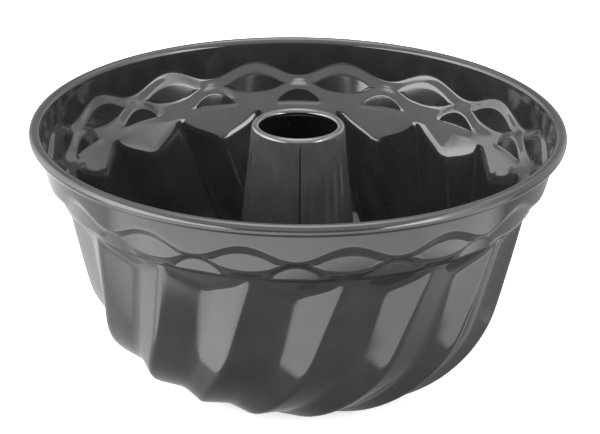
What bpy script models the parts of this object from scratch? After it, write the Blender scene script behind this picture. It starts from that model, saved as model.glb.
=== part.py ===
"""Kugelhopf mould: a deep-drawn steel body with a rolled rim, a pressed band of interlaced cords and
swept flutes, and a rolled chimney tube seamed into the hole in its base.

Everything is in metres, +Z up, with the mould standing on Z = 0 and its axis on Z. Both pieces are
sheet metal, so each is a blank wrapped round the axis and pressed to shape by its own formula, which
gives the middle of the sheet, and a Solidify modifier then gives it the sheet's thickness.
"""

import math

import bmesh
import bpy
from mathutils import Vector

MM = 0.001

# Overall sizes
RIM_DIAMETER = 220 * MM
HEIGHT = 110 * MM
SHEET = 0.8 * MM
CLEARANCE = 0.3 * MM

# Rolled rim and the plain wall under it
ROLL_DIAMETER = 5.0 * MM
ROLL_SWEEP = math.radians(285)
WALL_DRAFT = math.radians(5.5)

# Band of interlaced cords: the drops are heights below the top of the rim
FLUTES = 16
WAVE_TOP_DROP = 8.8 * MM
WAVE_HEIGHT = 7.1 * MM
EYE_DROP = 19.1 * MM
EYE_LENGTH = 24.4 * MM
EYE_HEIGHT = 7.2 * MM
EYE_DRAFT = math.radians(14)
EYE_INSET = 2.4 * MM
HALF_EYE_FOOT_DROP = 26.7 * MM
HALF_EYE_LENGTH = 21.0 * MM
HALF_EYE_HEIGHT = 5.4 * MM
HALF_EYE_DRAFT = math.radians(14)
HALF_EYE_STAND = 2.8 * MM
BAND_FOOT_DROP = 29.2 * MM
BAND_FOOT_DIAMETER = 189.4 * MM
SHELF_SLOPE = math.radians(42)
FALL_OFF = 1.6
LEAST_AWAY = 0.001 * MM

# Shelf between the band's foot and the zigzag where the flutes start
RIDGE_TOP_DROP = 1.6 * MM
RIDGE_TOP_INSET = 0.2 * MM
ZIGZAG_SLOPE = math.radians(46)

# Flutes: V-shaped, and leaning more and more towards the foot
FLUTE_DEPTH = 4.6 * MM
FLUTE_TAPER = 1.5
LEAN_AT_TOP = math.radians(14.5)
LEAN_AT_FOOT = math.radians(32.5)
LEAN_STARTS = 0.24
LEAN_ENDS = 0.55
FADE_STARTS = 0.8
FOOT_RADIUS = 50 * MM
LEAST_DRAFT = math.radians(3)

# Standing ring, and the recess for the seam round the hole
RING_DIAMETER = 74 * MM
RING_WIDTH = 1.8 * MM
RECESS_SLOPE = 1.2 * MM
SEAM_LIFT = 0.4 * MM

# Chimney tube
CHIMNEY_TOP_DIAMETER = 38.4 * MM
CHIMNEY_FOOT_DIAMETER = 59.6 * MM
CHIMNEY_TOP_DROP = 0.4 * MM
LIP_DIAMETER = 3.0 * MM
LIP_SWEEP = math.radians(250)
BEAD_HEIGHT = 1.0 * MM
FLANGE_WIDTH = 2.8 * MM
LAP_ANGLE = math.radians(183.4)
LAP_STEP = math.radians(0.8)
LAP_WIDTH = 9 * MM
LAP_RUNOUT = 6 * MM

# Fineness of the meshes
BAND_COLUMNS = 12
FLUTE_COLUMNS = 4
ROLL_ROWS = 8
FLUTE_ROWS = 11
TWIST_STEPS = 200
CHIMNEY_COLUMNS = 40
LIP_ROWS = 5
CONE_ROWS = 4
BEAD_ROWS = 4

SHARP_EDGE = math.radians(20)
ENAMEL_COLOUR = (0.085, 0.085, 0.088, 1)
ENAMEL_ROUGHNESS = 0.22


def blend(a, b, share):
    return a + (b - a) * share


def smooth(x):
    """0 below 0, 1 above 1, and a level-ended S between."""
    x = min(max(x, 0.0), 1.0)
    return x * x * (3 - 2 * x)


def polar(r, turn, z):
    """Point at a radius and height. A turn of 0 is the back, and turns run anticlockwise from above."""
    return Vector((-r * math.sin(turn), r * math.cos(turn), z))


def outside_lens(along, up, half_length, half_height):
    """Distance outside a lens with parabolic edges, close to right near its edge."""
    share = along / half_length
    edge = half_height * (1 - share * share)
    steepness = 2 * half_height * share / half_length
    return (abs(up) - edge) / math.hypot(1, steepness)


def seam_sheet_z():
    """Middle of the body's sheet round the hole: the chimney's flange lies under it, off the ground."""
    return SEAM_LIFT + SHEET + CLEARANCE + SHEET / 2


def chimney_radius(z):
    """Outer radius of the chimney's cone at a height."""
    lip_z = HEIGHT - CHIMNEY_TOP_DROP - LIP_DIAMETER / 2
    share = (lip_z - z) / (lip_z - seam_sheet_z())
    return blend(CHIMNEY_TOP_DIAMETER, CHIMNEY_FOOT_DIAMETER, share) / 2


def hole_radius():
    return chimney_radius(seam_sheet_z()) + CLEARANCE


class BodySheet:
    """Middle surface of the body, from the free end of its roll to the edge of the hole in its base.

    A cell is one flute wide, from ridge to ridge, and 0.5 is its middle. An eye of the band stands
    over each ridge, and a half eye over each valley.
    """

    def __init__(self):
        self.pitch = math.tau / FLUTES
        self.roll = (ROLL_DIAMETER - SHEET) / 2
        self.roll_r = (RIM_DIAMETER - ROLL_DIAMETER) / 2
        self.roll_z = HEIGHT - ROLL_DIAMETER / 2
        self.eye_z = HEIGHT - EYE_DROP
        self.half_eye_z = HEIGHT - HALF_EYE_FOOT_DROP
        self.band_foot = HEIGHT - BAND_FOOT_DROP
        self.foot_r = BAND_FOOT_DIAMETER / 2
        self.ring_r = RING_DIAMETER / 2
        self.lay_out_ridge()
        self.lay_out_twist()

    def wall_radius(self, z):
        """The plain wall leaves the inner side of the roll along its tangent."""
        top_r = self.roll_r - self.roll * math.cos(WALL_DRAFT)
        top_z = self.roll_z + self.roll * math.sin(WALL_DRAFT)
        return top_r - (top_z - z) * math.tan(WALL_DRAFT)

    def lay_out_ridge(self):
        """A ridge runs straight from the shelf and then round the foot, on an arc that its wall limits."""
        self.ridge_r = self.foot_r - RIDGE_TOP_INSET
        self.ridge_z = self.band_foot - RIDGE_TOP_DROP
        reach = self.ridge_r - self.ring_r
        rise = self.ridge_z - SHEET / 2
        lean = math.tan(LEAST_DRAFT)
        most = (reach - rise * lean) / (math.cos(LEAST_DRAFT) - (1 - math.sin(LEAST_DRAFT)) * lean)
        self.arc = min(FOOT_RADIUS, most)
        self.arc_z = SHEET / 2 + self.arc
        away = Vector((reach, self.ridge_z - self.arc_z))
        self.draft = math.acos(self.arc / away.length) - math.atan2(away.y, away.x)
        self.straight = math.sqrt(away.length_squared - self.arc**2)
        self.run = self.straight + self.arc * (math.pi / 2 - self.draft)
        cross_slope = 1 / math.tan(ZIGZAG_SLOPE) - math.tan(self.draft)
        drop = FLUTE_DEPTH / math.cos(self.draft) / cross_slope
        self.valley_start = (drop / math.cos(self.draft) + FLUTE_DEPTH * math.tan(self.draft)) / self.run

    def ridge(self, share):
        """Radius, height and slope from upright at a share of the ridge's run."""
        s = share * self.run
        if s < self.straight:
            r = self.ridge_r - s * math.sin(self.draft)
            return r, self.ridge_z - s * math.cos(self.draft), self.draft
        slope = self.draft + (s - self.straight) / self.arc
        r = self.ring_r + self.arc * math.cos(slope)
        return r, self.arc_z - self.arc * math.sin(slope), slope

    def valley(self, share):
        """Radius and height. A valley starts lower than the ridges, where the zigzag meets it."""
        share = blend(self.valley_start, 1, share)
        r, z, slope = self.ridge(share)
        tapered = FLUTE_DEPTH * (r / self.ridge_r) ** FLUTE_TAPER
        depth = blend(FLUTE_DEPTH, tapered, smooth(share / LEAN_ENDS))
        depth *= 1 - smooth((share - FADE_STARTS) / (1 - FADE_STARTS))
        return r - depth * math.cos(slope), z + depth * math.sin(slope)

    def lay_out_twist(self):
        """Turn of the flutes at equal shares of their run, added up from their lean."""
        self.twists = [0.0]
        for i in range(TWIST_STEPS):
            share = (i + 0.5) / TWIST_STEPS
            eased = smooth((share - LEAN_STARTS) / (LEAN_ENDS - LEAN_STARTS))
            lean = blend(math.tan(LEAN_AT_TOP), math.tan(LEAN_AT_FOOT), eased)
            forward = self.run / TWIST_STEPS / self.ridge(share)[0]
            self.twists.append(self.twists[-1] + lean * forward)

    def twist(self, share):
        return self.twists[round(share * TWIST_STEPS)]

    def roll_point(self, share, cell_turn):
        angle = math.pi - WALL_DRAFT - ROLL_SWEEP * (1 - share)
        r = self.roll_r + self.roll * math.cos(angle)
        return polar(r, cell_turn, self.roll_z + self.roll * math.sin(angle))

    def wave_z(self, cell):
        """Upper outline of the band."""
        return HEIGHT - WAVE_TOP_DROP - WAVE_HEIGHT * (0.5 - 0.5 * math.cos(math.tau * cell))

    def eye_radius(self, z):
        """Face of the eyes, steeper than the cords and set in from the wall."""
        middle_r = self.wall_radius(self.eye_z) - EYE_INSET
        return middle_r + (z - self.eye_z) * math.tan(EYE_DRAFT)

    def half_eye_radius(self, z):
        """Face of the half eyes, set in from the eyes."""
        return self.foot_r + HALF_EYE_STAND + (z - self.half_eye_z) * math.tan(HALF_EYE_DRAFT)

    def shelf_radius(self, z):
        """Shelf that the band ends in."""
        return self.foot_r + (z - self.band_foot) * math.tan(SHELF_SLOPE)

    def band_radius(self, cell, z):
        """Between the steep faces of the wall, the eyes and the half eyes, the cords are ledges.

        A cord's radius is the mean of the faces' radii, each with a weight that falls off with the
        distance to that face.
        """
        wall = self.wall_radius(z)
        arc = self.pitch * wall
        steepness = math.pi * WAVE_HEIGHT / arc * math.sin(math.tau * cell)
        under_wave = (self.wave_z(cell) - z) / math.hypot(1, steepness)
        from_eye = min(cell, 1 - cell) * arc
        off_eye = outside_lens(from_eye, z - self.eye_z, EYE_LENGTH / 2, EYE_HEIGHT / 2)
        from_half_eye = abs(cell - 0.5) * arc
        off_arch = outside_lens(from_half_eye, z - self.half_eye_z, HALF_EYE_LENGTH / 2, HALF_EYE_HEIGHT)
        off_half_eye = max(off_arch, self.half_eye_z - z)
        faces = (
            (under_wave, wall),
            (off_eye, self.eye_radius(z)),
            (off_half_eye, self.half_eye_radius(z)),
            (z - self.band_foot, self.shelf_radius(z)),
        )
        nearest, face = min(faces)
        if nearest < LEAST_AWAY:
            return face
        weights = [(nearest / away) ** FALL_OFF for away, _ in faces]
        return sum(weight * r for weight, (_, r) in zip(weights, faces)) / sum(weights)

    def band_levels(self, cell):
        """Heights of the band's rows, along the edges of its faces and across the cords."""
        arc = self.pitch * self.wall_radius(self.eye_z)
        wave = self.wave_z(cell)
        foot = self.band_foot
        share = min(cell, 1 - cell) * arc / (EYE_LENGTH / 2)
        if share < 1:
            edge = EYE_HEIGHT / 2 * (1 - share * share)
            over = self.eye_z + edge
            under = self.eye_z - edge
            upper_cord = [blend(wave, over, part) for part in (0.25, 0.7)]
            lower_cord = [blend(under, foot, part) for part in (0.35, 0.7)]
            return [wave] + upper_cord + [over, under] + lower_cord + [foot]
        share = abs(cell - 0.5) * arc / (HALF_EYE_LENGTH / 2)
        arch = self.half_eye_z + HALF_EYE_HEIGHT * max(1 - share * share, 0)
        crossing = [blend(wave, arch, part) for part in (0.2, 0.4, 0.6, 0.8)]
        return [wave] + crossing + [arch, self.half_eye_z, foot]

    def band_point(self, row, turn, cell):
        z = self.band_levels(cell)[row]
        return polar(self.band_radius(cell, z), turn, z)

    def flute_point(self, share, turn, cell):
        """A flute's two faces run straight from a ridge to the valley beside it, in every section."""
        off_ridge = cell if cell <= 0.5 else cell - 1
        ridge_turn = turn - off_ridge * self.pitch
        valley_turn = ridge_turn + math.copysign(self.pitch / 2, off_ridge)
        twist = self.twist(share)
        r, z, _ = self.ridge(share)
        on_ring = polar(r, turn - twist, z)
        on_ridge = polar(r, ridge_turn - twist, z)
        r, z = self.valley(share)
        on_valley = polar(r, valley_turn - twist, z)
        on_face = on_ridge.lerp(on_valley, abs(off_ridge) * 2)
        return on_face.lerp(on_ring, smooth((share - FADE_STARTS) / (1 - FADE_STARTS)))

    def base_point(self, row, turn):
        """Standing ring, step up to the seam, and the flat round the hole."""
        inner = self.ring_r - RING_WIDTH
        corners = (
            (inner, SHEET / 2),
            (inner - RECESS_SLOPE, seam_sheet_z()),
            (hole_radius(), seam_sheet_z()),
        )
        r, z = corners[row]
        return polar(r, turn - self.twist(1), z)


def body_rows(sheet):
    """The rows of the body's blank: columns kept in a cell, and the point for a turn and its cell."""
    rows = []
    for i in range(ROLL_ROWS + 1):
        share = i / ROLL_ROWS
        rows.append((FLUTE_COLUMNS, lambda turn, cell, share=share: sheet.roll_point(share, turn)))
    for i in range(len(sheet.band_levels(0))):
        rows.append((BAND_COLUMNS, lambda turn, cell, i=i: sheet.band_point(i, turn, cell)))
    for i in range(FLUTE_ROWS + 1):
        share = i / FLUTE_ROWS
        rows.append((FLUTE_COLUMNS, lambda turn, cell, share=share: sheet.flute_point(share, turn, cell)))
    for i in range(3):
        rows.append((FLUTE_COLUMNS, lambda turn, cell, i=i: sheet.base_point(i, turn)))
    return rows


def wrapped_blank(name, columns, rows):
    """A flat grid bent into a ring: rows[i](column) gives a point, and points that meet are welded."""
    bm = bmesh.new()
    bmesh.ops.create_grid(bm, x_segments=columns, y_segments=len(rows) - 1, size=1)
    for vert in bm.verts:
        column = round((vert.co.x + 1) / 2 * columns) % columns
        row = round((vert.co.y + 1) / 2 * (len(rows) - 1))
        vert.co = rows[row](column)
    bmesh.ops.remove_doubles(bm, verts=bm.verts, dist=0.001 * MM)
    bmesh.ops.recalc_face_normals(bm, faces=bm.faces)
    mesh = bpy.data.meshes.new(name)
    bm.to_mesh(mesh)
    bm.free()
    return mesh


def pressed_sheet(name, mesh, collection):
    """The object for a pressed blank, with the sheet's thickness and an enamelled finish."""
    obj = bpy.data.objects.new(name, mesh)
    collection.objects.link(obj)
    solid = obj.modifiers.new("sheet thickness", "SOLIDIFY")
    solid.thickness = SHEET
    solid.offset = 0
    solid.use_even_offset = True
    material = bpy.data.materials.new(name + " enamel")
    material.use_nodes = True
    shader = material.node_tree.nodes["Principled BSDF"]
    shader.inputs["Base Color"].default_value = ENAMEL_COLOUR
    shader.inputs["Roughness"].default_value = ENAMEL_ROUGHNESS
    shader.inputs["Metallic"].default_value = 0
    material.diffuse_color = ENAMEL_COLOUR
    mesh.materials.append(material)
    mesh.shade_smooth()
    mesh.set_sharp_from_angle(angle=SHARP_EDGE)
    return obj


def make_body(collection):
    """The band keeps every column, and above and below it the columns close up to the few it needs."""
    sheet = BodySheet()

    def placed(kept, point):
        def at(column):
            cell_number, place = divmod(column, BAND_COLUMNS)
            cell = round(place / BAND_COLUMNS * kept) / kept
            turn = (cell_number + cell - 0.5) * sheet.pitch
            return point(turn, cell % 1)

        return at

    rows = [placed(kept, point) for kept, point in body_rows(sheet)]
    mesh = wrapped_blank("body", FLUTES * BAND_COLUMNS, rows)
    return pressed_sheet("body", mesh, collection)


def chimney_profile():
    """Middle of the chimney's wall as (radius, height, share of the lap that shows there)."""
    half = SHEET / 2
    top = HEIGHT - CHIMNEY_TOP_DROP
    lip_z = top - LIP_DIAMETER / 2
    taper = math.atan2(chimney_radius(0) - chimney_radius(top), top)
    curl = LIP_DIAMETER / 2 - half
    lip_r = chimney_radius(lip_z) - LIP_DIAMETER / 2
    profile = []
    for i in range(LIP_ROWS + 1):
        angle = taper + LIP_SWEEP * (1 - i / LIP_ROWS)
        profile.append((lip_r + curl * math.cos(angle), lip_z + curl * math.sin(angle), 0))
    bead_z = seam_sheet_z() + half + CLEARANCE + BEAD_HEIGHT + half
    cone_top = lip_z - LAP_RUNOUT / 2
    cone_foot = bead_z + BEAD_HEIGHT + LAP_RUNOUT / 2
    for i in range(CONE_ROWS + 1):
        z = blend(cone_top, cone_foot, i / CONE_ROWS)
        profile.append((chimney_radius(z) - half, z, 1))
    for i in range(BEAD_ROWS + 1):
        angle = math.pi / 2 - math.pi * i / BEAD_ROWS
        z = bead_z + BEAD_HEIGHT * math.sin(angle)
        profile.append((chimney_radius(z) - half + BEAD_HEIGHT * math.cos(angle), z, 0))
    flange_z = SEAM_LIFT + half
    profile.append((chimney_radius(flange_z) - half, flange_z + half, 0))
    profile.append((chimney_radius(flange_z), flange_z, 0))
    profile.append((hole_radius() + FLANGE_WIDTH, flange_z, 0))
    return profile


def make_chimney(collection):
    """A tapered tube rolled up from sheet: its lap is a step outwards that dies away round the tube."""
    step_turn = math.tau / (CHIMNEY_COLUMNS - 1)

    def placed(r, z, lap):
        def at(column):
            beyond = step_turn * (column - 1)
            turn = LAP_ANGLE + beyond
            if column == 0:
                return polar(r, LAP_ANGLE - LAP_STEP, z)
            raised = 1 - smooth(beyond * r / LAP_WIDTH)
            return polar(r + lap * raised * SHEET, turn, z)

        return at

    rows = [placed(r, z, lap) for r, z, lap in chimney_profile()]
    mesh = wrapped_blank("chimney", CHIMNEY_COLUMNS, rows)
    return pressed_sheet("chimney", mesh, collection)


def main():
    for old in list(bpy.data.objects):
        bpy.data.objects.remove(old, do_unlink=True)
    parts = bpy.data.collections.new("kugelhopf mould")
    bpy.context.scene.collection.children.link(parts)
    make_body(parts)
    make_chimney(parts)


if __name__ == "__main__":
    main()
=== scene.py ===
"""Looks of an enamelled kugelhopf mould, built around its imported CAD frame.

The mould has two sheet-metal pieces. The body is one pressed sheet with a rolled rim, a band of
interlaced cords and swept flutes. The chimney is a rolled tube with a lap seam. Each piece is a flat
blank that is bent to its own formula, so every edge gets the small radius that a press leaves.
Lengths are in metres, +Z is up, the mould stands on Z = 0 and its axis is Z.
"""

import logging
import math
from collections.abc import Callable
from dataclasses import dataclass, field
from enum import Enum

import bpy
from mathutils import Matrix, Vector


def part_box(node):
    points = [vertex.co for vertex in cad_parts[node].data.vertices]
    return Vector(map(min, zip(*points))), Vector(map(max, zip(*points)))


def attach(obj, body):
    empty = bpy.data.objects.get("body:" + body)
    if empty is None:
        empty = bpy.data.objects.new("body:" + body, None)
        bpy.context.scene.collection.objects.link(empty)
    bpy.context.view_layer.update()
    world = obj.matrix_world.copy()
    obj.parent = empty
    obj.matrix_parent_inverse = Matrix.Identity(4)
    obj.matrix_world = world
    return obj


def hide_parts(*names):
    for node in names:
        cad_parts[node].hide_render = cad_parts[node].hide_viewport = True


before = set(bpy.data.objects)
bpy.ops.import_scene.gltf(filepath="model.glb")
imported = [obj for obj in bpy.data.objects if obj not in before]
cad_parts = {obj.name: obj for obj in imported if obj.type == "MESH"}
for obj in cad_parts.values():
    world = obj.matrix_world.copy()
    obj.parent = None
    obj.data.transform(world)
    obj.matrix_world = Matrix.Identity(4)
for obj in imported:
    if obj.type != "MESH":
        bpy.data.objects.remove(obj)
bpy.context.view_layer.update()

MM = 0.001
SHEET = 0.8 * MM
CLEARANCE = 0.3 * MM
FLANGE_Z = 0.8 * MM
PHOTO_WIDTH = 600

RowPoint = Callable[[float, float], Vector]
Colour = tuple[float, float, float]
Limits = tuple[float, float]
Steps = tuple[float, ...]

log = logging.getLogger("kugelhopf mould")


class Slot(Enum):
    """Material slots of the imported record."""

    BODY = "body_enamel"
    CHIMNEY = "chimney_enamel"


def grey(value: float) -> Colour:
    """Neutral colour of a value."""
    return value, value, value


def blend(a: float, b: float, share: float) -> float:
    """Value at a share of the way from a to b."""
    return a + (b - a) * share


def smooth(x: float) -> float:
    """0 below 0, 1 above 1, and a level-ended S between."""
    x = min(max(x, 0.0), 1.0)
    return x * x * (3 - 2 * x)


def eased(x: float, lead: float, tail: float) -> float:
    """A straight ramp from 0 to 1 with a rounded foot and a rounded top.

    Args:
        x: place along the ramp, from 0 to 1.
        lead: share of the ramp that its rounded foot takes.
        tail: share of the ramp that its rounded top takes.

    Returns:
        Height of the ramp there, from 0 to 1.
    """
    x = min(max(x, 0.0), 1.0)
    steepness = 1 / (1 - lead / 2 - tail / 2)
    if x < lead:
        return steepness * x * x / (2 * lead)
    if x > 1 - tail:
        return 1 - steepness * (1 - x) ** 2 / (2 * tail)
    return steepness * (x - lead / 2)


def polar(r: float, turn: float, z: float) -> Vector:
    """Point at a radius, height and turn. A turn of 0 is the back, and turns run anticlockwise."""
    return Vector((-r * math.sin(turn), r * math.cos(turn), z))


def rounded_corner(before: Vector, corner: Vector, after: Vector, share: float) -> Vector:
    """Point on the arc that rounds off a corner.

    Args:
        before: where the arc starts.
        corner: the sharp corner.
        after: where the arc ends.
        share: place along the arc, from 0 to 1.

    Returns:
        The point there.
    """
    return before.lerp(corner, share).lerp(corner.lerp(after, share), share)


def outside_lens(along: float, up: float, half_length: float, half_height: float) -> float:
    """Distance outside a lens with parabolic edges, close to right near its edge.

    Args:
        along: distance from the lens's middle along it.
        up: height above its middle.
        half_length: half its length.
        half_height: half its height.

    Returns:
        The distance, below 0 inside the lens.
    """
    share = along / half_length
    edge = half_height * (1 - share * share)
    steepness = 2 * half_height * share / half_length
    return (abs(up) - edge) / math.hypot(1, steepness)


def only(obj: bpy.types.Object) -> None:
    """Selects one object, alone, and makes it active.

    Args:
        obj: the object.
    """
    bpy.ops.object.select_all(action="DESELECT")
    obj.select_set(True)
    bpy.context.view_layer.objects.active = obj


def hide_from(obj: bpy.types.Object, *rays: str) -> None:
    """Hides an object from some kinds of rays."""
    for kind in rays:
        setattr(obj, f"visible_{kind}", False)


@dataclass
class BlankRow:
    """One row of a blank: how many columns it keeps, and where each of its points goes."""

    columns: int
    point: RowPoint


@dataclass
class Blank:
    """A flat grid that is bent row by row, and whose surplus columns close up."""

    name: str
    columns: int
    rows: list[BlankRow]

    def bend(self) -> bpy.types.Object:
        """Adds the grid and moves each of its points to its place.

        Returns:
            The bent blank, an open sheet whose surplus points lie on each other.
        """
        bpy.ops.object.select_all(action="DESELECT")
        bpy.ops.mesh.primitive_grid_add(
            x_subdivisions=self.columns, y_subdivisions=len(self.rows) - 1, size=2
        )
        obj = bpy.context.active_object
        obj.name = self.name
        obj.data.name = self.name
        for vert in obj.data.vertices:
            column = round((vert.co.x + 1) / 2 * self.columns)
            row = self.rows[round((vert.co.y + 1) / 2 * (len(self.rows) - 1))]
            kept = round(column / self.columns * row.columns) / row.columns
            vert.co = row.point(kept, column)
        return obj


@dataclass
class SheetPress:
    """Gives a bent blank the sheet's thickness and its shading."""

    thickness: float = SHEET
    sharp_edge: float = math.radians(42)
    weld_distance: float = 0.002 * MM

    def close_ring(self, obj: bpy.types.Object, copies: int = 1) -> None:
        """Repeats a blank round the axis, and welds the points that meet.

        Args:
            obj: the bent blank.
            copies: how many of it make the whole ring.
        """
        only(obj)
        bpy.ops.object.mode_set(mode="EDIT")
        bpy.ops.mesh.select_all(action="SELECT")
        if copies > 1:
            bpy.ops.mesh.spin(
                steps=copies - 1,
                dupli=True,
                angle=math.tau * (copies - 1) / copies,
                center=(0, 0, 0),
                axis=(0, 0, 1),
            )
            bpy.ops.mesh.select_all(action="SELECT")
        bpy.ops.mesh.remove_doubles(threshold=self.weld_distance)
        bpy.ops.mesh.normals_make_consistent(inside=False)
        bpy.ops.object.mode_set(mode="OBJECT")

    def thicken(self, obj: bpy.types.Object) -> None:
        """Turns the open sheet into a closed wall of even thickness.

        Args:
            obj: the welded sheet.
        """
        only(obj)
        bpy.ops.object.modifier_add(type="SOLIDIFY")
        wall = obj.modifiers[-1]
        wall.thickness = self.thickness
        wall.offset = 0
        wall.use_even_offset = True
        wall.use_quality_normals = True
        bpy.ops.object.modifier_apply(modifier=wall.name)
        bpy.ops.object.shade_smooth_by_angle(angle=self.sharp_edge)


@dataclass
class RolledRim:
    """Rolled rim, and the plain wall that hangs from the inner side of the roll."""

    diameter: float
    top: float
    roll_diameter: float = 5.0 * MM
    roll_sweep: float = math.radians(285)
    draft: float = math.radians(5.5)
    roll_rows: int = 24
    wall_rows: int = 4
    columns: int = 12

    @property
    def curl(self) -> float:
        """Radius of the roll at the middle of its sheet."""
        return (self.roll_diameter - SHEET) / 2

    @property
    def roll_r(self) -> float:
        """Distance of the roll's middle from the axis."""
        return (self.diameter - self.roll_diameter) / 2

    @property
    def roll_z(self) -> float:
        """Height of the roll's middle."""
        return self.top - self.roll_diameter / 2

    @property
    def tangent_z(self) -> float:
        """Height where the plain wall leaves the roll."""
        return self.roll_z + self.curl * math.sin(self.draft)

    def wall_radius(self, z: float) -> float:
        """Radius of the plain wall at a height."""
        top_r = self.roll_r - self.curl * math.cos(self.draft)
        return top_r - (self.tangent_z - z) * math.tan(self.draft)

    def roll_point(self, share: float, turn: float) -> Vector:
        """Point on the roll.

        Args:
            share: share of the roll's sweep, from its free end.
            turn: turn round the mould's axis.

        Returns:
            The point, at the middle of the sheet.
        """
        angle = math.pi - self.draft - self.roll_sweep * (1 - share)
        z = self.roll_z + self.curl * math.sin(angle)
        return polar(self.roll_r + self.curl * math.cos(angle), turn, z)

    def wall_point(self, share: float, turn: float, foot_z: float) -> Vector:
        """Point on the plain wall at a share of the way down to a height."""
        z = blend(self.tangent_z, foot_z, share)
        return polar(self.wall_radius(z), turn, z)


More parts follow.
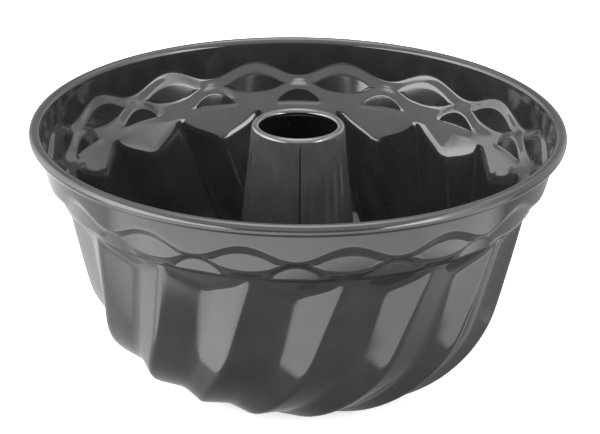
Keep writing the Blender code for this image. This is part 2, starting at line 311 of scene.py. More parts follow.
@dataclass
class CordBand:
    """Two interlaced cords round the wall: ledges that step down between the steeper faces.

    A cell is one flute wide, from ridge to ridge. An eye stands over each ridge, at the cell's
    sides, and a half eye over each valley, in its middle.
    """

    rim: RolledRim
    pitch: float
    wave_top_drop: float = 8.8 * MM
    wave_height: float = 7.1 * MM
    eye_drop: float = 19.1 * MM
    eye_length: float = 24.4 * MM
    eye_height: float = 7.2 * MM
    eye_draft: float = math.radians(14)
    eye_inset: float = 2.4 * MM
    half_eye_foot_drop: float = 26.7 * MM
    half_eye_length: float = 21.0 * MM
    half_eye_height: float = 5.4 * MM
    half_eye_draft: float = math.radians(14)
    foot_drop: float = 29.2 * MM
    foot_r: float = 94.7 * MM
    shelf_slope: float = math.radians(42)
    half_eye_stand: float = 2.8 * MM
    cord_slope: float = 2.4 * MM
    fall_off: float = 2.6
    shelf_pull: float = 0.3
    crossing_drop: float = 18.7 * MM
    dimple_length: float = 4.2 * MM
    dimple_height: float = 1.8 * MM
    dimple_depth: float = 0.22 * MM
    least_step: float = 0.03 * MM
    on_face: float = 0.001 * MM
    tip_fade: float = 4.0
    wave_leads: Steps = (0.8 * MM, 0.3 * MM)
    cord_steps: Steps = (0.0, 0.22, 0.5, 0.78, 1.0)
    eye_parts: Steps = (0.93, 0.5, 0, -0.5, -0.93)
    half_eye_parts: Steps = (0.93, 0.5, 0.07, 0)
    shelf_steps: Steps = (0.25, 0.5, 0.75)
    columns: int = 32

    @property
    def eye_z(self) -> float:
        """Height of the eyes' middles."""
        return self.rim.top - self.eye_drop

    @property
    def half_eye_z(self) -> float:
        """Height of the half eyes' straight edges."""
        return self.rim.top - self.half_eye_foot_drop

    @property
    def foot_z(self) -> float:
        """Height of the band's foot."""
        return self.rim.top - self.foot_drop

    def wave_z(self, cell: float) -> float:
        """Height of the band's upper edge."""
        swing = 0.5 - 0.5 * math.cos(math.tau * cell)
        return self.rim.top - self.wave_top_drop - self.wave_height * swing

    def eye_radius(self, z: float) -> float:
        """Face of the eyes."""
        middle_r = self.rim.wall_radius(self.eye_z) - self.eye_inset
        return middle_r + (z - self.eye_z) * math.tan(self.eye_draft)

    def half_eye_radius(self, z: float) -> float:
        """Face of the half eyes."""
        foot_r = self.foot_r + self.half_eye_stand
        return foot_r + (z - self.half_eye_z) * math.tan(self.half_eye_draft)

    def shelf_radius(self, z: float) -> float:
        """Top of the shelf that the band ends in, which never reaches past the wall."""
        shelf_r = self.foot_r + (z - self.foot_z) * math.tan(self.shelf_slope)
        return min(shelf_r, self.rim.wall_radius(z))

    def dimple(self, cell: float, z: float) -> float:
        """Small oval dimple where two cords cross.

        Args:
            cell: place across the cell, from 0 to 1.
            z: height.

        Returns:
            Its depth there.
        """
        along = abs(cell - 0.5) * self.pitch * self.rim.wall_radius(z)
        away = math.hypot(
            along / (self.dimple_length / 2),
            (z - self.rim.top + self.crossing_drop) / (self.dimple_height / 2),
        )
        return self.dimple_depth * (1 - smooth(away))

    def radius(self, cell: float, z: float) -> float:
        """Radius of the pressed sheet in the band.

        Args:
            cell: place across the cell, from 0 to 1.
            z: height.

        Returns:
            The radius there, at the middle of the sheet.
        """
        wall = self.rim.wall_radius(z)
        arc = self.pitch * wall
        steepness = math.pi * self.wave_height / arc * math.sin(math.tau * cell)
        under_wave = (self.wave_z(cell) - z) / math.hypot(1, steepness)
        from_eye = min(cell, 1 - cell) * arc
        off_eye = outside_lens(from_eye, z - self.eye_z, self.eye_length / 2, self.eye_height / 2)
        from_half_eye = abs(cell - 0.5) * arc
        off_arch = outside_lens(
            from_half_eye, z - self.half_eye_z, self.half_eye_length / 2, self.half_eye_height
        )
        off_half_eye = max(off_arch, self.half_eye_z - z)
        faces = (
            (under_wave, wall),
            (off_eye, self.eye_radius(z)),
            (off_half_eye, self.half_eye_radius(z)),
            ((z - self.foot_z) * self.shelf_pull, self.shelf_radius(z)),
        )
        nearest, face = min(faces)
        if nearest < self.on_face:
            return face
        pulls = [(nearest / away) ** self.fall_off for away, _ in faces]
        mean = sum(pull * r for pull, (_, r) in zip(pulls, faces)) / sum(pulls)
        return mean - self.dimple(cell, z)

    def edge_heights(self, cell: float) -> list[float]:
        """Heights of the band's rows, gathered along its edges and spread over its faces.

        Args:
            cell: place across the cell, from 0 to 1.

        Returns:
            The heights, from the top of the band to its foot.
        """
        arc = self.pitch * self.rim.wall_radius(self.eye_z)
        wave = self.wave_z(cell)
        from_eye = min(cell, 1 - cell) * arc
        from_half_eye = abs(cell - 0.5) * arc
        steps = self.cord_steps
        heights = [wave + lead for lead in self.wave_leads]
        heights += [wave - self.cord_slope * step for step in steps]
        half, reach = self.edge_over(from_eye, self.eye_length / 2, self.eye_height / 2)
        past_tip = max(from_eye - self.eye_length / 2, 0) / self.cord_slope
        crossing_z = self.rim.top - self.crossing_drop
        middle = blend(self.eye_z, crossing_z, smooth(past_tip / self.tip_fade))
        over = [middle + half + reach * step for step in reversed(steps)]
        under = [middle - half - reach * step for step in steps]
        pad = [middle + half * part for part in self.eye_parts]
        heights += [None] + over + pad + under + [None]
        half_length = self.half_eye_length / 2
        arch, reach = self.edge_over(from_half_eye, half_length, self.half_eye_height)
        foot = self.half_eye_z
        heights += [foot + arch + reach * step for step in reversed(steps)]
        heights += [foot + arch * part for part in self.half_eye_parts]
        heights += [blend(foot, self.foot_z, step) for step in self.shelf_steps]
        return self.spaced(heights)

    def edge_over(self, along: float, half_length: float, height: float) -> tuple[float, float]:
        """Edge of an eye, and the slope of the cord that borders it.

        Args:
            along: distance from the eye's middle.
            half_length: half the eye's length.
            height: height of its edge over its middle.

        Returns:
            Height of the edge at that distance, and the height that the slope takes.
        """
        past_tip = max((along - half_length) / self.cord_slope, 0)
        reach = self.cord_slope * math.sqrt(max(1 - past_tip * past_tip, 0))
        share = min(along / half_length, 1)
        return height * (1 - share * share), reach

    def spaced(self, heights: list[float | None]) -> list[float]:
        """Keeps the rows in order and apart.

        Args:
            heights: wanted heights from the top down, with None for a row midway to the next.

        Returns:
            The heights, none higher than the one before it.
        """
        last = len(heights) - 1
        for i, z in enumerate(heights):
            if z is None:
                heights[i] = (heights[i - 1] + heights[i + 1]) / 2
        for i in range(1, last + 1):
            heights[i] = min(heights[i], heights[i - 1] - self.least_step)
        floor = self.foot_z + self.least_step
        for i in range(last, -1, -1):
            heights[i] = max(heights[i], floor)
            floor = heights[i] + self.least_step
        return heights

    def point(self, row: int, turn: float, cell: float) -> Vector:
        """Point of one of the band's rows."""
        z = self.edge_heights(cell)[row]
        return polar(self.radius(cell, z), turn, z)


@dataclass
class SweptFlutes:
    """V-shaped flutes that start at a zigzag under the band, and lean more and more to the foot."""

    band: CordBand
    ring_r: float
    ridge_top_drop: float = 1.6 * MM
    ridge_top_inset: float = 0.2 * MM
    zigzag_slope: float = math.radians(46)
    depth: float = 4.6 * MM
    taper: float = 1.5
    lean_at_top: float = math.radians(14.5)
    lean_at_foot: float = math.radians(32.5)
    lean_starts: float = 0.24
    lean_ends: float = 0.55
    fade_starts: float = 0.8
    foot_radius: float = 50 * MM
    least_draft: float = math.radians(3)
    ridge_round: float = 1.3 * MM
    valley_round: float = 2.6 * MM
    zigzag_round: float = 3.0 * MM
    upper_round: float = 0.5 * MM
    upper_lead: float = 0.3 * MM
    most_ridge_part: float = 0.4
    most_valley_part: float = 0.5
    most_zigzag_part: float = 0.6
    most_upper_part: float = 0.25
    shelf_parts: Steps = (0, 0.35, 0.7, 1, 1.5, 2, 2.17, 2.33, 2.5, 2.67, 2.83)
    twist_steps: int = 400
    columns: int = 22
    rows: int = 40
    twists: list[float] = field(default_factory=list)

    def __post_init__(self) -> None:
        """Works out the ridge's line and the twist along it."""
        self.ridge_r = self.band.foot_r - self.ridge_top_inset
        self.ridge_z = self.band.foot_z - self.ridge_top_drop
        reach = self.ridge_r - self.ring_r
        rise = self.ridge_z - SHEET / 2
        lean = math.tan(self.least_draft)
        most = (reach - rise * lean) / (
            math.cos(self.least_draft) - (1 - math.sin(self.least_draft)) * lean
        )
        self.arc = min(self.foot_radius, most)
        self.arc_z = SHEET / 2 + self.arc
        away = Vector((reach, self.ridge_z - self.arc_z))
        self.draft = math.acos(self.arc / away.length) - math.atan2(away.y, away.x)
        self.straight = math.sqrt(away.length_squared - self.arc**2)
        self.run = self.straight + self.arc * (math.pi / 2 - self.draft)
        cross_slope = 1 / math.tan(self.zigzag_slope) - math.tan(self.draft)
        drop = self.depth / math.cos(self.draft) / cross_slope
        down = drop / math.cos(self.draft) + self.depth * math.tan(self.draft)
        self.valley_start = down / self.run
        self.twists.append(0.0)
        for i in range(self.twist_steps):
            share = (i + 0.5) / self.twist_steps
            turned = smooth((share - self.lean_starts) / (self.lean_ends - self.lean_starts))
            lean = blend(math.tan(self.lean_at_top), math.tan(self.lean_at_foot), turned)
            forward = self.run / self.twist_steps / self.ridge(share)[0]
            self.twists.append(self.twists[-1] + lean * forward)

    def ridge(self, share: float) -> tuple[float, float, float]:
        """The ridge's line.

        Args:
            share: share of its run, from the top.

        Returns:
            Radius, height and slope from upright there.
        """
        s = share * self.run
        if s < self.straight:
            r = self.ridge_r - s * math.sin(self.draft)
            return r, self.ridge_z - s * math.cos(self.draft), self.draft
        slope = self.draft + (s - self.straight) / self.arc
        r = self.ring_r + self.arc * math.cos(slope)
        return r, self.arc_z - self.arc * math.sin(slope), slope

    def valley(self, share: float) -> tuple[float, float]:
        """The valley's line, which starts where the zigzag meets it.

        Args:
            share: share of its run, from the top.

        Returns:
            Radius and height there.
        """
        share = blend(self.valley_start, 1, share)
        r, z, slope = self.ridge(share)
        tapered = self.depth * (r / self.ridge_r) ** self.taper
        depth = blend(self.depth, tapered, smooth(share / self.lean_ends))
        depth *= 1 - self.fade(share)
        return r - depth * math.cos(slope), z + depth * math.sin(slope)

    def fade(self, share: float) -> float:
        """How far the flutes have died away into the foot at a share of their run."""
        return smooth((share - self.fade_starts) / (1 - self.fade_starts))

    def twist(self, share: float) -> float:
        """Turn of the flutes.

        Args:
            share: share of their run, from the top.

        Returns:
            How far they have swept round there.
        """
        whole, part = divmod(share * self.twist_steps, 1)
        following = self.twists[min(int(whole) + 1, self.twist_steps)]
        return blend(self.twists[int(whole)], following, part)

    def face_point(self, share: float, turn: float, cell: float) -> Vector:
        """Point on a flute: two straight faces, with a rounded ridge and a rounded valley.

        Args:
            share: share of the flute's run, from the top.
            turn: turn of the column, before the twist.
            cell: place across the cell, from 0 to 1.

        Returns:
            The point, at the middle of the sheet.
        """
        off_ridge = cell if cell <= 0.5 else cell - 1
        across = abs(off_ridge) * 2
        ridge_turn = turn - off_ridge * self.band.pitch
        valley_turn = ridge_turn + math.copysign(self.band.pitch / 2, off_ridge)
        twist = self.twist(share)
        r, z, _ = self.ridge(share)
        on_ring = polar(r, turn - twist, z)
        on_ridge = polar(r, ridge_turn - twist, z)
        valley_r, valley_z = self.valley(share)
        on_valley = polar(valley_r, valley_turn - twist, valley_z)
        sunk = polar(valley_r, turn - twist, valley_z) - on_ring
        half_width = self.band.pitch / 2 * r
        ridge_part = min(self.ridge_round / half_width, self.most_ridge_part)
        valley_part = min(self.valley_round / half_width, self.most_valley_part)
        rounding = eased(across, ridge_part, valley_part) - across
        on_face = on_ridge.lerp(on_valley, across) + sunk * rounding
        return on_face.lerp(on_ring, self.fade(share))

    def shelf_point(self, part: float, turn: float, cell: float) -> Vector:
        """Point between the band's foot and the flutes, round both edges of the shelf.

        Args:
            part: place down the shelf: 0 to 1 round its upper edge, 1 to 2 on it, and 2 to 3
                round the zigzag.
            turn: turn of the column.
            cell: place across the cell, from 0 to 1.

        Returns:
            The point, at the middle of the sheet.
        """
        foot = polar(self.band.foot_r, turn, self.band.foot_z)
        zigzag = self.face_point(0, turn, cell)
        shelf = zigzag - foot
        upper = foot + shelf * min(self.upper_round / shelf.length, self.most_upper_part)
        if part < 1:
            z = self.band.foot_z + self.upper_lead
            before = polar(self.band.radius(cell, z), turn, z)
            return rounded_corner(before, foot, upper, part)
        lower = zigzag - shelf * min(self.zigzag_round / shelf.length, self.most_zigzag_part)
        if part < 2:
            return upper.lerp(lower, part - 1)
        after = self.face_point(self.first_share, turn, cell)
        return rounded_corner(lower, zigzag, after, part - 2)

    @property
    def first_share(self) -> float:
        """Share of the run that the rounded zigzag takes."""
        return self.zigzag_round / self.run


@dataclass
class StandingFoot:
    """Flat ring that the mould stands on, and the recess for the chimney's seam."""

    ring_r: float
    hole_r: float
    seam_z: float
    ring_width: float = 1.8 * MM
    recess_slope: float = 1.2 * MM
    corner: float = 0.35 * MM
    corner_steps: int = 3
    columns: int = 8

    def profile(self) -> list[tuple[float, float]]:
        """Middle of the sheet from the ring's outer edge to the hole, with rounded corners.

        Returns:
            Radius and height of each of its points.
        """
        inner = self.ring_r - self.ring_width
        ring = [(self.ring_r, SHEET / 2), (inner, SHEET / 2)]
        base = [(inner - self.recess_slope, self.seam_z), (self.hole_r, self.seam_z)]
        corners = [Vector(place) for place in ring + base]
        points = []
        for before, corner, after in zip(corners, corners[1:], corners[2:]):
            start = corner + (before - corner).normalized() * self.corner
            end = corner + (after - corner).normalized() * self.corner
            for step in range(self.corner_steps + 1):
                points.append(rounded_corner(start, corner, end, step / self.corner_steps))
        points.append(corners[-1])
        return [(p.x, p.y) for p in points]


@dataclass
class PressedBody:
    """The mould's body, pressed from one sheet: rim, wall, band, flutes and foot."""

    diameter: float
    height: float
    hole_r: float
    seam_z: float
    flutes: int = 16
    ring_diameter: float = 74 * MM
    press: SheetPress = field(default_factory=SheetPress)

    def __post_init__(self) -> None:
        """Makes the regions of the sheet, each from the one above it."""
        pitch = math.tau / self.flutes
        ring_r = self.ring_diameter / 2
        self.rim = RolledRim(self.diameter, self.height)
        self.band = CordBand(self.rim, pitch)
        self.swept = SweptFlutes(self.band, ring_r)
        self.foot = StandingFoot(ring_r, self.hole_r, self.seam_z)

    def rim_rows(self) -> list[BlankRow]:
        """Bends the sheet's upper edge.

        Returns:
            Rows of the roll and of the plain wall under it.
        """
        rows = []
        for i in range(self.rim.roll_rows + 1):
            share = i / self.rim.roll_rows
            rows.append(self.row(self.rim.columns, lambda t, c, s=share: self.rim.roll_point(s, t)))
        for i in range(1, self.rim.wall_rows):
            share = i / self.rim.wall_rows
            rows.append(self.row(self.band.columns, lambda t, c, s=share: self.wall_point(s, t, c)))
        return rows

    def wall_point(self, share: float, turn: float, cell: float) -> Vector:
        """Point on the plain wall at a share of the way down to the band."""
        return self.rim.wall_point(share, turn, self.band.edge_heights(cell)[0])

    def band_rows(self) -> list[BlankRow]:
        """Presses the cords and the eyes.

        Returns:
            Rows of the band.
        """
        count = len(self.band.edge_heights(0))
        return [
            self.row(self.band.columns, lambda t, c, i=i: self.band.point(i, t, c))
            for i in range(count)
        ]

    def flute_rows(self) -> list[BlankRow]:
        """Presses all that lies between the band and the foot.

        Returns:
            Rows of the shelf, the zigzag and the flutes.
        """
        swept = self.swept
        rows = [
            self.row(swept.columns, lambda t, c, p=part: swept.shelf_point(p, t, c))
            for part in swept.shelf_parts
        ]
        for i in range(swept.rows + 1):
            share = blend(swept.first_share, 1, i / swept.rows)
            rows.append(self.row(swept.columns, lambda t, c, s=share: swept.face_point(s, t, c)))
        return rows

    def foot_rows(self) -> list[BlankRow]:
        """Presses the base.

        Returns:
            Rows of the standing ring and of the flat round the hole.
        """
        turned = self.swept.twist(1)
        return [
            self.row(self.foot.columns, lambda t, c, r=r, z=z: polar(r, t - turned, z))
            for r, z in self.foot.profile()
        ]

    def row(self, columns: int, point: RowPoint) -> BlankRow:
        """Row of one cell's blank, from a function of a turn and a cell.

        Args:
            columns: how many columns the row keeps.
            point: place of a point at a turn and a cell.

        Returns:
            The row, as a function of the share across the blank.
        """
        pitch = self.band.pitch
        return BlankRow(columns, lambda kept, column: point((kept - 0.5) * pitch, kept))

    def build(self) -> bpy.types.Object:
        """Models one cell, repeats it round the axis and gives the sheet its thickness.

        Returns:
            The finished body.
        """
        rows = self.rim_rows() + self.band_rows() + self.flute_rows() + self.foot_rows()
        obj = Blank("pressed_body", self.band.columns, rows).bend()
        self.press.close_ring(obj, self.flutes)
        self.press.thicken(obj)
        return obj


@dataclass
class ChimneyTube:
    """Tapered tube rolled up from sheet, with a lap seam, an inward lip and a seam at its foot."""

    top: float
    seam_z: float
    top_diameter: float = 38.4 * MM
    foot_diameter: float = 59.6 * MM
    lip_diameter: float = 3.3 * MM
    lip_sweep: float = math.radians(250)
    bead_height: float = 1.0 * MM
    flange_width: float = 2.8 * MM
    flange_z: float = FLANGE_Z
    lap_turn: float = math.radians(183.4)
    seam_gap: float = 0.42 * MM
    lap_width: float = 9 * MM
    lap_runout: float = 11 * MM
    seam_runout: float = 1.5 * MM
    cone_margin: float = 0.6 * MM
    row_gather: float = 0.85
    columns: int = 128
    lip_rows: int = 14
    cone_rows: int = 34
    bead_rows: int = 10
    press: SheetPress = field(default_factory=SheetPress)

    @property
    def lip_z(self) -> float:
        """Height of the middle of the lip's roll."""
        return self.top - self.lip_diameter / 2

    def outer_radius(self, z: float) -> float:
        """Outer radius of the cone at a height."""
        share = (self.lip_z - z) / (self.lip_z - self.seam_z)
        return blend(self.top_diameter, self.foot_diameter, share) / 2

    @property
    def hole_r(self) -> float:
        """Radius of the hole in the body that the tube stands in."""
        return self.outer_radius(self.seam_z) + CLEARANCE

    def profile(self) -> list[tuple[float, float, float]]:
        """Middle of the sheet from the free end of the lip to the edge of the flange.

        Returns:
            Radius, height, and how far down the seam from its nearer end.
        """
        half = SHEET / 2
        taper = math.atan2(self.outer_radius(0) - self.outer_radius(self.top), self.top)
        curl = self.lip_diameter / 2 - half
        lip_r = self.outer_radius(self.lip_z) - self.lip_diameter / 2
        points = []
        for i in range(self.lip_rows + 1):
            angle = taper + self.lip_sweep * (1 - i / self.lip_rows)
            z = self.lip_z + curl * math.sin(angle)
            points.append((lip_r + curl * math.cos(angle), z, 0.0))
        bead_z = self.seam_z + half + CLEARANCE + self.bead_height + half
        cone_top = self.lip_z - self.cone_margin
        cone_foot = bead_z + self.bead_height + self.cone_margin
        for i in range(self.cone_rows + 1):
            share = i / self.cone_rows
            z = blend(cone_top, cone_foot, blend(share, smooth(share), self.row_gather))
            seam = max(min(cone_top - z, z - cone_foot), 0.0)
            points.append((self.outer_radius(z) - half, z, seam))
        for i in range(self.bead_rows + 1):
            angle = math.pi / 2 - math.pi * i / self.bead_rows
            z = bead_z + self.bead_height * math.sin(angle)
            r = self.outer_radius(z) - half + self.bead_height * math.cos(angle)
            points.append((r, z, 0.0))
        neck = self.outer_radius(self.flange_z) - half
        edge = self.hole_r + self.flange_width
        foot = ((neck, half), (neck + half / 3, half / 3), (neck + half, 0.0), (edge, 0.0))
        return points + [(r, self.flange_z + up, 0.0) for r, up in foot]

    def row(self, r: float, z: float, seam: float) -> BlankRow:
        """Row of the tube's blank, whose ends leave the seam's dark slit between them.

        Args:
            r: radius of the tube's sheet.
            z: height.
            seam: how far down the seam from its nearer end.

        Returns:
            The row.
        """
        step = math.tau / self.columns
        lap = smooth(seam / self.lap_runout)
        gap = smooth(seam / self.seam_runout) * self.seam_gap

        def at(kept: float, column: int) -> Vector:
            """Point of this row.

            Args:
                kept: share across the blank, which the tube doesn't need.
                column: column of the blank, from one side of the seam to the other.

            Returns:
                The point, at the middle of the sheet.
            """
            if column == self.columns:
                return polar(r, self.lap_turn - gap / r, z)
            beyond = step * column
            raised = 1 - smooth(beyond * r / self.lap_width)
            return polar(r + lap * raised * SHEET, self.lap_turn + beyond, z)

        return BlankRow(self.columns, at)

    def build(self) -> bpy.types.Object:
        """Rolls the blank up into the tube.

        Returns:
            The finished chimney.
        """
        rows = [self.row(r, z, seam) for r, z, seam in self.profile()]
        obj = Blank("chimney_tube", self.columns, rows).bend()
        self.press.close_ring(obj)
        self.press.thicken(obj)
        return obj


class Socket:
    """A node's output that takes part in Python expressions, each of which adds its Math node."""

    def __init__(self, bench: "ShaderBench", output: bpy.types.NodeSocket) -> None:
        """Wraps an output of a node on a bench."""
        self.bench = bench
        self.output = output

    def math(self, operation: str, *others: "Socket | float") -> "Socket":
        """This value through one Math node."""
        return self.bench.node("ShaderNodeMath", {"operation": operation}, [self, *others])

    def __add__(self, other: "Socket | float") -> "Socket":
        """The sum."""
        return self.math("ADD", other)

    __radd__ = __add__

    def __sub__(self, other: "Socket | float") -> "Socket":
        """The difference."""
        return self.math("SUBTRACT", other)

    def __rsub__(self, other: float) -> "Socket":
        """A number less this value."""
        return self.bench.node("ShaderNodeMath", {"operation": "SUBTRACT"}, [other, self])

    def __mul__(self, other: "Socket | float") -> "Socket":
        """The product."""
        return self.math("MULTIPLY", other)

    __rmul__ = __mul__

    def __truediv__(self, other: "Socket | float") -> "Socket":
        """The quotient."""
        return self.math("DIVIDE", other)

    def between(self, low: float, high: float) -> "Socket":
        """0 at low, 1 at high, and an S between."""
        settings = {"interpolation_type": "SMOOTHSTEP"}
        return self.bench.node("ShaderNodeMapRange", settings, [self, low, high, 0.0, 1.0])


class ShaderBench:
    """Adds nodes to one material."""

    def __init__(self, name: str) -> None:
        """Starts a material that holds only its shader and its output.

        Args:
            name: the material's name.
        """
        self.material = bpy.data.materials.new(name)
        self.material.use_nodes = True
        self.tree = self.material.node_tree
        self.shader = self.tree.nodes["Principled BSDF"]

    def node(
        self,
        kind: str,
        settings: dict | None = None,
        inputs: list | dict | None = None,
        output: int | str = 0,
    ) -> Socket:
        """Adds one node.

        Args:
            kind: the node's type.
            settings: its properties, which are set first.
            inputs: values or sockets for its inputs, by place or by name.
            output: which output to give back.

        Returns:
            That output.
        """
        node = self.tree.nodes.new(kind)
        for key, value in (settings or {}).items():
            setattr(node, key, value)
        pairs = inputs.items() if isinstance(inputs, dict) else enumerate(inputs or [])
        for key, value in pairs:
            if isinstance(value, Socket):
                self.tree.links.new(value.output, node.inputs[key])
            else:
                node.inputs[key].default_value = value
        return Socket(self, node.outputs[output])

    def feed(self, name: str, value: Socket | float | tuple) -> None:
        """Links or sets one input of the material's shader.

        Args:
            name: the input.
            value: a socket, or a fixed value.
        """
        if isinstance(value, Socket):
            self.tree.links.new(value.output, self.shader.inputs[name])
        else:
            self.shader.inputs[name].default_value = value

    def dot(self, vector: Socket, other: tuple) -> Socket:
        """Dot product of a vector and a fixed one."""
        settings = {"operation": "DOT_PRODUCT"}
        return self.node("ShaderNodeVectorMath", settings, [vector, other], output="Value")

    def place(self) -> Socket:
        """Object coordinates, in metres."""
        return self.node("ShaderNodeTexCoord", output="Object")

    def noise(self, size: float, detail: float = 2.0) -> Socket:
        """Noise from 0 to 1 whose patches are about a size across."""
        inputs = {"Vector": self.place(), "Scale": 1 / size, "Detail": detail}
        return self.node("ShaderNodeTexNoise", inputs=inputs)

    def mix(self, share: Socket, a: Socket | tuple, b: Socket | tuple) -> Socket:
        """Mixes two colours.

        Args:
            share: share of the second one.
            a: the first one.
            b: the second one.

        Returns:
            The mixed colour.
        """
        start, end = (colour if isinstance(colour, Socket) else (*colour, 1) for colour in (a, b))
        settings = {"data_type": "RGBA"}
        return self.node("ShaderNodeMix", settings, {0: share, 6: start, 7: end}, output=2)

    def bump(self, height: Socket, distance: float) -> Socket:
        """Normal of a surface that a height in 0 to 1 raises by a distance."""
        inputs = {"Height": height, "Distance": distance, "Strength": 1.0}
        return self.node("ShaderNodeBump", inputs=inputs, output="Normal")


class WorldBench(ShaderBench):
    """Adds nodes to the scene's world, whose shader is its background."""

    def __init__(self, world: bpy.types.World) -> None:
        """Starts on the world's own nodes.

        Args:
            world: the world.
        """
        world.use_nodes = True
        self.tree = world.node_tree
        self.shader = self.tree.nodes["Background"]


@dataclass(frozen=True)
class EnamelFinish:
    """Glossy dark grey enamel, with a fine ripple from firing and a few specks in it."""

    name: str
    light: Colour = grey(0.016)
    dark: Colour = grey(0.012)
    speck: Colour = grey(0.1)
    roughness: float = 0.075
    roughness_spread: float = 0.02
    ripple_size: float = 1.6 * MM
    ripple_height: float = 0.004 * MM
    cloud_size: float = 14 * MM
    cloud_detail: float = 3.0
    cloud_limits: Limits = (0.3, 0.7)
    speck_size: float = 4.5 * MM
    speck_limits: Limits = (0.018, 0.045)
    speck_roughness: float = 0.3
    ior: float = 1.5

    def material(self) -> bpy.types.Material:
        """Builds the finish.

        Returns:
            Its material.
        """
        bench = ShaderBench(self.name)
        clouds = bench.noise(self.cloud_size, self.cloud_detail)
        ground = self.ground(bench, clouds.between(*self.cloud_limits))
        inputs = {"Vector": bench.place(), "Scale": 1 / self.speck_size}
        cells = bench.node("ShaderNodeTexVoronoi", {"feature": "F1"}, inputs)
        specks = 1 - cells.between(*self.speck_limits)
        colour = bench.mix(specks, ground, self.speck)
        grain = bench.noise(self.ripple_size)
        gloss = self.roughness + (clouds - 0.5) * self.roughness_spread
        bench.feed("Base Color", colour)
        bench.feed("Roughness", gloss + specks * self.speck_roughness)
        bench.feed("Normal", bench.bump(grain, self.ripple_height))
        bench.feed("Metallic", 0.0)
        bench.feed("IOR", self.ior)
        return bench.material

    def ground(self, bench: ShaderBench, clouds: Socket) -> Socket:
        """Colour of the enamel without its specks."""
        return bench.mix(clouds, self.dark, self.light)


@dataclass(frozen=True)
class ChimneyFinish(EnamelFinish):
    """Paler enamel of a tapered tube, glossier on its lip, with painted shade that makes its inside
    almost black.
    """

    light: Colour = grey(0.038)
    dark: Colour = grey(0.03)
    # near-black painted shade for the inside of the tube
    painted_bore_shade: Colour = grey(0.006)
    top_r: float = 0.0
    foot_r: float = 0.0
    top_z: float = 0.1
    lip_height: float = 3.4 * MM
    lip_fade: float = 0.3 * MM
    wall_fade: float = 0.1 * MM
    coat_roughness: float = 0.04

    def ground(self, bench: ShaderBench, clouds: Socket) -> Socket:
        """Gives the lip its gloss, and paints near-black shade on the inside of the tube.

        Args:
            bench: where the nodes go.
            clouds: share of the lighter grey.

        Returns:
            Colour of the enamel without its specks, with the painted shade inside the tube.
        """
        outside = super().ground(bench, clouds)
        place = bench.place()
        x, y, z = (bench.dot(place, axis) for axis in ((1, 0, 0), (0, 1, 0), (0, 0, 1)))
        sheet_r = self.foot_r + z * ((self.top_r - self.foot_r) / self.top_z)
        off = (x * x + y * y).math("SQRT") - sheet_r
        lip_z = self.top_z - self.lip_height
        bench.feed("Coat Weight", z.between(lip_z - self.lip_fade, lip_z + self.lip_fade))
        bench.feed("Coat Roughness", self.coat_roughness)
        # painted shade: the inner side of the sheet is mixed to near black
        return bench.mix(off.between(-self.wall_fade, self.wall_fade), self.painted_bore_shade, outside)


@dataclass(frozen=True)
class FloorFinish:
    """Plain pale studio floor, lit from within so that hardly a shadow shows on it."""

    name: str = "pale floor"
    glow: float = 0.55
    white: float = 0.86
    darkest: float = 0.985
    cloud_size: float = 0.4
    cloud_limits: Limits = (0.2, 0.8)
    roughness: float = 0.7

    def material(self) -> bpy.types.Material:
        """Builds the finish.

        Returns:
            Its material.
        """
        bench = ShaderBench(self.name)
        shade = bench.noise(self.cloud_size).between(*self.cloud_limits)
        darker = grey(self.white * self.darkest)
        bench.feed("Base Color", bench.mix(shade, darker, grey(self.white)))
        bench.feed("Roughness", self.roughness)
        bench.feed("Emission Color", (1, 1, 1, 1))
        bench.feed("Emission Strength", self.glow)
        return bench.material


@dataclass(frozen=True)
class SoftPanel:
    """Upright lit panel of the studio, far off, with soft ends.

    Angles are azimuths in degrees, from the camera's side and positive to the right. Each end
    is the angle of its middle and the width of its fade.
    """

    facing: float
    start: Limits
    end: Limits
    top: float
    radiance: float
    top_fade: float = 0.14
    least_ahead: float = 0.01

    def light(self, bench: ShaderBench, way: Socket) -> Socket:
        """Light that the panel sends from a direction.

        Args:
            bench: where its nodes go.
            way: the direction.

        Returns:
            Its radiance there.
        """
        turn = math.radians(self.facing)
        ahead = bench.dot(way, (math.sin(turn), -math.cos(turn), 0))
        aside = bench.dot(way, (math.cos(turn), math.sin(turn), 0))
        rise = bench.dot(way, (0, 0, 1)) / ahead.math("MAXIMUM", self.least_ahead)
        off = aside.math("ARCTAN2", ahead)
        after_start = off.between(*self.fade_angles(*self.start))
        before_end = 1 - off.between(*self.fade_angles(*self.end))
        below_top = 1 - rise.between(self.top - self.top_fade / 2, self.top + self.top_fade / 2)
        return after_start * before_end * below_top * self.radiance

    def fade_angles(self, middle: float, fade: float) -> Limits:
        """Where a soft end starts and stops, in radians from the way that the panel faces."""
        off = middle - self.facing
        return math.radians(off - fade / 2), math.radians(off + fade / 2)


@dataclass(frozen=True)
class Ceiling:
    """Light from overhead: all that is higher than an elevation, in degrees.

    It leans back by an angle, so the elevation is the one over the leaning ceiling's own plane.
    """

    elevation: float
    fade: float
    radiance: float
    lean: float = 0.0

    def light(self, bench: ShaderBench, way: Socket) -> Socket:
        """Light that comes from a direction.

        Args:
            bench: where its nodes go.
            way: the direction.

        Returns:
            Its radiance there.
        """
        lean = math.radians(self.lean)
        rise = bench.dot(way, (0, math.sin(lean), math.cos(lean))).math("ARCSINE")
        low, high = self.elevation - self.fade / 2, self.elevation + self.fade / 2
        return rise.between(math.radians(low), math.radians(high)) * self.radiance


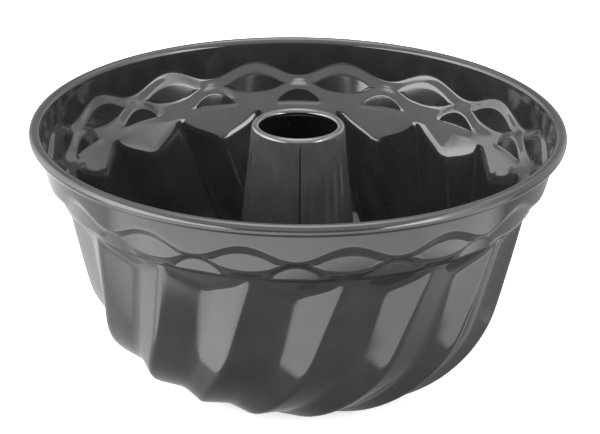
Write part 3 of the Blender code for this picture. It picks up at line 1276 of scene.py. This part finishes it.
@dataclass(frozen=True)
class LitTable:
    """White table as the enamel mirrors it: bright, with the mould's own dark shadow round it."""

    name: str = "mirrored table"
    radius: float = 0.9
    drop: float = 60 * MM
    bright: float = 4.1
    dark: float = 0.1
    penumbra: float = 0.08
    left_glow: float = 0.25
    shadow_x: float = 28 * MM
    shadow_y: float = -16 * MM
    shadow_core: float = 40 * MM
    shadow_full: float = 180 * MM
    shadow_ends: float = 206 * MM
    back_slope: float = -0.08
    back_y: float = -20 * MM
    back_fade: float = 65 * MM
    right_loss: float = 0.25
    right_limits: Limits = (-100 * MM, 250 * MM)
    left_limits: Limits = (-260 * MM, -80 * MM)
    edges: int = 96

    def material(self) -> bpy.types.Material:
        """Builds the glow, which falls off in the shadow and to the back.

        Returns:
            Its material.
        """
        bench = ShaderBench(self.name)
        place = bench.place()
        x = bench.dot(place, (1, 0, 0))
        y = bench.dot(place, (0, 1, 0))
        off_x = x - self.shadow_x
        off_y = y - self.shadow_y
        away = (off_x * off_x + off_y * off_y).math("SQRT")
        lit = away.between(self.shadow_full, self.shadow_ends)
        ahead = self.back_y - y - x * self.back_slope
        lit = lit * ahead.between(-self.back_fade, self.back_fade)
        lit = lit * (1 - x.between(*self.right_limits) * self.right_loss)
        shade = self.dark + away.between(self.shadow_core, self.shadow_ends) * self.penumbra
        shade = shade + (1 - x.between(*self.left_limits)) * self.left_glow
        bench.feed("Base Color", (0, 0, 0, 1))
        bench.feed("Specular IOR Level", 0.0)
        bench.feed("Emission Color", bench.mix(lit.math("MAXIMUM", shade), grey(0), grey(1)))
        bench.feed("Emission Strength", self.bright)
        return bench.material

    def build(self) -> None:
        """Lays it under the floor, where only mirrored rays meet it."""
        bpy.ops.object.select_all(action="DESELECT")
        bpy.ops.mesh.primitive_circle_add(
            vertices=self.edges, radius=self.radius, fill_type="NGON", location=(0, 0, -self.drop)
        )
        bpy.ops.object.transform_apply(location=True, rotation=False, scale=False)
        table = bpy.context.active_object
        table.name = "mirrored_table"
        hide_from(table, "camera", "diffuse", "transmission", "volume_scatter", "shadow")
        table.data.materials.append(self.material())


@dataclass
class Studio:
    """Floor, a table for the enamel to mirror, and a surrounding of soft panels."""

    floor_size: float = 40.0
    ambient: float = 0.65
    panels: tuple[SoftPanel | Ceiling, ...] = (
        SoftPanel(-108, start=(-138, 40), end=(-27, 8), top=0.72, radiance=2.8),
        SoftPanel(-108, start=(-92, 50), end=(-27, 8), top=0.72, radiance=6.4),
        SoftPanel(122, start=(34.5, 5), end=(61, 10), top=1.2, radiance=6.5),
        SoftPanel(122, start=(34.5, 5), end=(75, 60), top=1.2, radiance=4.6),
        SoftPanel(122, start=(55, 30), end=(150, 30), top=1.2, radiance=0.8),
        Ceiling(elevation=30, fade=24, radiance=1.5, lean=-12),
        Ceiling(elevation=71, fade=16, radiance=4.4, lean=12),
    )

    def add_floor(self) -> None:
        """Adds the floor, which is no part of the mould."""
        bpy.ops.object.select_all(action="DESELECT")
        bpy.ops.mesh.primitive_plane_add(size=self.floor_size)
        floor = bpy.context.active_object
        floor.name = "floor"
        hide_from(floor, "glossy", "diffuse")
        floor.data.materials.append(FloorFinish().material())

    def add_surroundings(self) -> None:
        """Adds the light of the panels, over an even ambient light."""
        world = bpy.data.worlds.new("studio")
        bpy.context.scene.world = world
        bench = WorldBench(world)
        way = bench.node("ShaderNodeTexCoord", output="Generated")
        light = self.ambient
        for panel in self.panels:
            light = light + panel.light(bench, way)
        bench.feed("Strength", light)
        bench.feed("Color", (1, 1, 1, 1))

    def build(self) -> None:
        """Sets the whole studio up."""
        self.add_floor()
        LitTable().build()
        self.add_surroundings()
        bpy.context.scene.view_settings.view_transform = "Standard"


@dataclass
class ProductCamera:
    """Camera in front of the mould, looking down into it."""

    distance: float = 1.1179
    elevation: float = math.radians(22.76)
    aim: Vector = field(default_factory=lambda: Vector((0.0012, 0, 0.0680)))
    roll: float = math.radians(0.65)
    focal_pixels: float = 2690.6
    sensor_width: float = 36.0
    farthest: float = 50.0

    def build(self) -> None:
        """Makes it the scene's camera."""
        forward = Vector((0, math.cos(self.elevation), -math.sin(self.elevation)))
        side = Vector((1, 0, 0))
        up = side.cross(forward)
        right = side * math.cos(self.roll) + up * math.sin(self.roll)
        rolled_up = up * math.cos(self.roll) - side * math.sin(self.roll)
        data = bpy.data.cameras.new("product camera")
        data.sensor_width = self.sensor_width
        data.lens = self.focal_pixels / PHOTO_WIDTH * self.sensor_width
        data.clip_end = self.farthest
        camera = bpy.data.objects.new("product camera", data)
        pose = Matrix((right, rolled_up, -forward)).transposed().to_4x4()
        pose.translation = self.aim - forward * self.distance
        camera.matrix_world = pose
        bpy.context.scene.collection.objects.link(camera)
        bpy.context.scene.camera = camera


def dress(obj: bpy.types.Object, node: str, finish: EnamelFinish) -> None:
    """Gives a finished piece its material and its body, and hides the CAD node that it stands for.

    Args:
        obj: the piece.
        node: the CAD node.
        finish: the finish.
    """
    obj.data.materials.append(finish.material())
    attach(obj, "root")
    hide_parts(node)
    log.info("%s: %d faces, stands for %s", obj.name, len(obj.data.polygons), node)


def main() -> None:
    """Builds both pieces, the studio and the camera."""
    logging.basicConfig(level=logging.INFO, format="%(message)s")
    low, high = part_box("body")
    chimney_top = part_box("chimney")[1].z
    seam_z = FLANGE_Z + SHEET / 2 + CLEARANCE + SHEET / 2
    chimney = ChimneyTube(chimney_top, seam_z)
    body = PressedBody(high.x - low.x, high.z, chimney.hole_r, seam_z)
    dress(body.build(), "body", EnamelFinish("body enamel"))
    chimney_finish = ChimneyFinish(
        "chimney enamel",
        top_r=chimney.outer_radius(chimney_top) - SHEET / 2,
        foot_r=chimney.outer_radius(0) - SHEET / 2,
        top_z=chimney_top,
    )
    dress(chimney.build(), "chimney", chimney_finish)
    Studio().build()
    ProductCamera().build()


if __name__ == "__main__":
    main()
